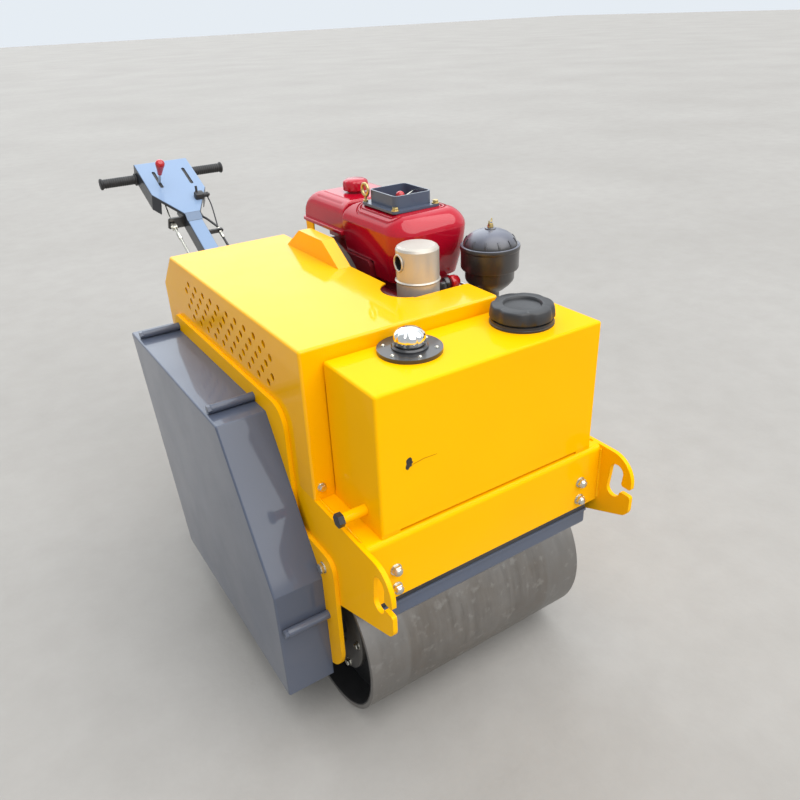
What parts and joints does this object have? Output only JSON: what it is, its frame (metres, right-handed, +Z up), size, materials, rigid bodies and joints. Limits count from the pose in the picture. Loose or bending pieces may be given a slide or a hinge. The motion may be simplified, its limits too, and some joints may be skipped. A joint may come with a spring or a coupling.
{
  "type": "walk-behind double drum road roller",
  "caption": "Walk-behind road roller: steel drums in a plate frame with tie hooks, chain cover, water tank, open engine beside a perforated hood, and a hinged handle with console",
  "frame": {"origin": "on the ground, at the middle of the outline in plan", "axes": "X to the machine's right across the drums, Y to the rear along the handle, Z up"},
  "size_m": [0.809, 2.144, 1.106],
  "materials": {
    "yellow_paint": "gloss",
    "slate_paint": "gloss",
    "crimson_paint": "gloss metallic",
    "black_paint": "satin",
    "drum_steel": "rolled, scuffed",
    "bright_steel": "turned",
    "zinc_steel": "zinc plated",
    "chrome": "polished",
    "muffler_steel": "silver, heat resistant",
    "cast_iron": "as cast, painted dark",
    "cast_alloy": "as cast",
    "brass": "plated",
    "black_rubber": "ribbed",
    "black_plastic": "moulded",
    "red_plastic": "moulded"
  },
  "bodies": {
    "frame": {"air_cleaner": "black_paint", "breather_cap": "chrome", "breather_flange": "black_paint", "chain_cover": "slate_paint", "chain_plate": "yellow_paint", "cover_studs": "zinc_steel", "cylinder_head": "cast_iron", "decompressor": "black_paint", "drain_plug": "black_paint", "drain_tube": "zinc_steel", "engine_block": "crimson_paint", "engine_deck": "yellow_paint", "engine_rails": "black_paint", "exhaust_flange": "muffler_steel", "float_gauge": "red_plastic", "frame_bolts": "zinc_steel", "front_beam": "yellow_paint", "front_bearing_left": "black_paint", "front_bearing_right": "black_paint", "front_scraper": "slate_paint", "front_tank": "yellow_paint", "fuel_cap": "crimson_paint", "fuel_tank": "crimson_paint", "gear_cover": "crimson_paint", "handle_fork": "yellow_paint", "handle_pin": "bright_steel", "hood": "yellow_paint", "hopper_funnel": "slate_paint", "injection_pump": "cast_alloy", "injector_line": "bright_steel", "intake_elbow": "black_paint", "lifting_eye": "brass", "lower_plate_left": "yellow_paint", "lower_plate_right": "yellow_paint", "muffler": "muffler_steel", "rear_beam": "yellow_paint", "rear_bearing_left": "black_paint", "rear_bearing_right": "black_paint", "rear_scraper": "slate_paint", "side_plate_left": "yellow_paint", "side_plate_right": "yellow_paint", "valve_cover": "crimson_paint", "water_filler": "black_plastic", "water_hopper": "crimson_paint"},
    "front_drum": {"front_drum": "drum_steel", "front_axle": "bright_steel"},
    "rear_drum": {"rear_drum": "drum_steel", "rear_axle": "bright_steel"},
    "flywheel": {"flywheel": "cast_iron"},
    "handle": {"handle_arm": "slate_paint", "console": "slate_paint", "handlebar": "slate_paint", "grips": "black_rubber", "travel_lever": "bright_steel", "lever_knob": "red_plastic", "throttle_lever": "black_plastic", "control_rods": "zinc_steel"}
  },
  "joints": [
    {"name": "front_drum_roll", "type": "hinge", "parent": "frame", "child": "front_drum", "pos_m": [0.0335, -0.73502, 0.2125], "axis": [1, 0, 0], "continuous": true},
    {"name": "rear_drum_roll", "type": "hinge", "parent": "frame", "child": "rear_drum", "pos_m": [0.0335, -0.21502, 0.2125], "axis": [1, 0, 0], "continuous": true},
    {"name": "flywheel_spin", "type": "hinge", "parent": "frame", "child": "flywheel", "pos_m": [0.0465, -0.27002, 0.79], "axis": [1, 0, 0], "continuous": true},
    {"name": "handle_lift", "type": "hinge", "parent": "frame", "child": "handle", "pos_m": [0.0335, 0.10898, 0.442], "axis": [1, 0, 0], "range_deg": [0, 50]}
  ]
}
